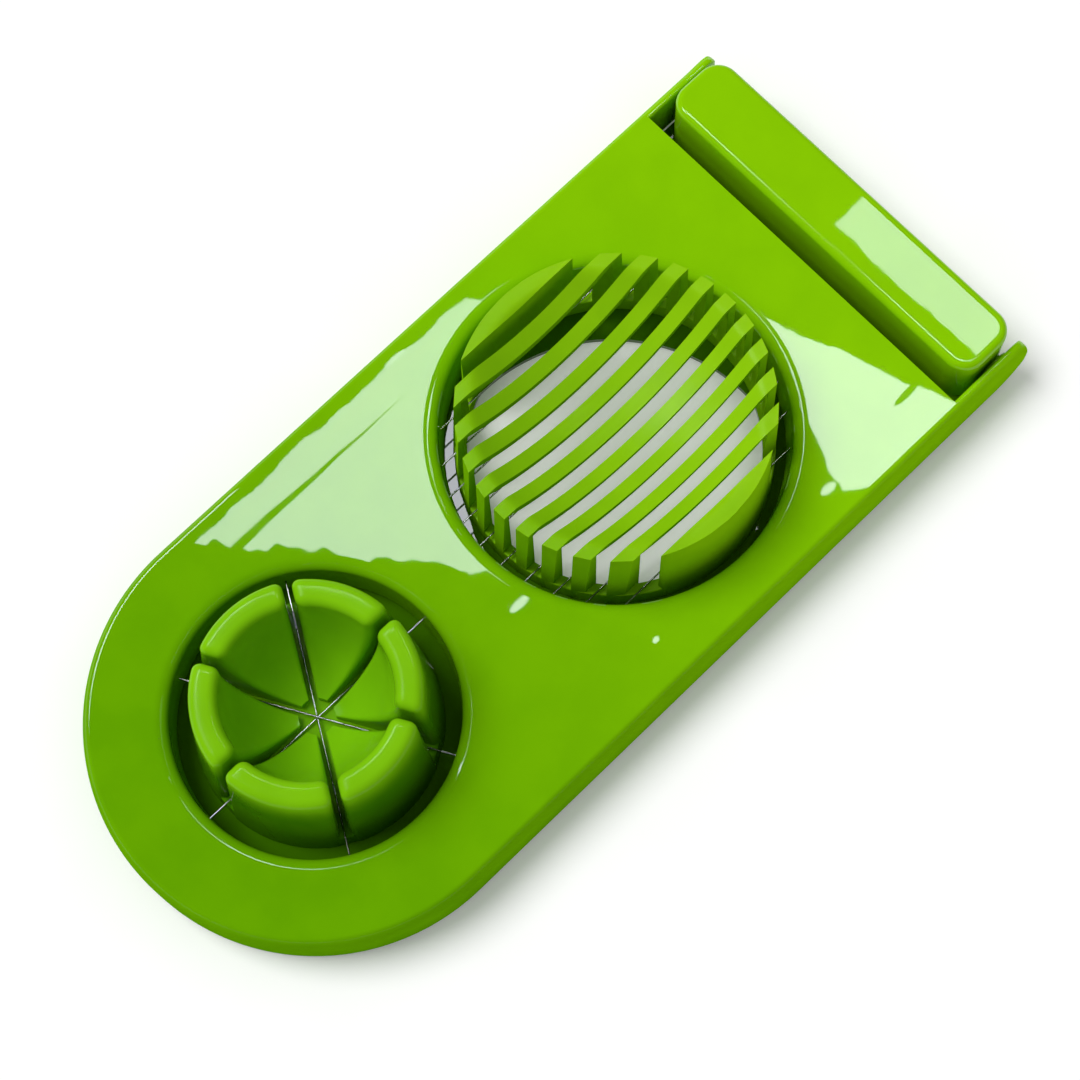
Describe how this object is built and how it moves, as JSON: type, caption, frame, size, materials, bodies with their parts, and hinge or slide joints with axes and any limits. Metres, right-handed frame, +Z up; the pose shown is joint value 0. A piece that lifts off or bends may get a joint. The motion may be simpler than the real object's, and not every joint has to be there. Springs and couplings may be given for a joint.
{
  "type": "egg slicer",
  "caption": "Flat round-nosed kitchen slicer for boiled eggs: hinged wire frame over a slotted dish for slices and a grooved cup for wedges.",
  "frame": {"origin": "on the surface it stands on, under the middle of its length and width", "axes": "+X along the length towards the hinge, +Y across the width, +Z up; drawn closed"},
  "size_m": [0.2073, 0.095, 0.0325],
  "materials": {
    "green_gloss_base": "glossy",
    "green_gloss_frame": "glossy",
    "green_satin_bed": "satin",
    "green_clamp": "glossy",
    "wire_steel": "drawn wire",
    "pin_steel": "bright"
  },
  "bodies": {
    "base": {"base": "green_gloss_base", "slicer_bed": "green_satin_bed", "wedge_bed": "green_satin_bed", "hinge_pin_left": "pin_steel", "hinge_pin_right": "pin_steel"},
    "frame": {"cutting_frame": "green_gloss_frame", "slicer_wire_clamp": "green_clamp", "wedge_wire_clamp": "green_clamp", "slicer_wire_01": "wire_steel", "slicer_wire_02": "wire_steel", "slicer_wire_03": "wire_steel", "slicer_wire_04": "wire_steel", "slicer_wire_05": "wire_steel", "slicer_wire_06": "wire_steel", "slicer_wire_07": "wire_steel", "slicer_wire_08": "wire_steel", "slicer_wire_09": "wire_steel", "slicer_wire_10": "wire_steel", "wedge_wire_1": "wire_steel", "wedge_wire_2": "wire_steel", "wedge_wire_3": "wire_steel"}
  },
  "joints": [
    {"name": "frame_hinge", "type": "hinge", "parent": "base", "child": "frame", "pos_m": [0.09705, 0, 0.007], "axis": [0, 1, 0], "range_deg": [0, 95]}
  ]
}
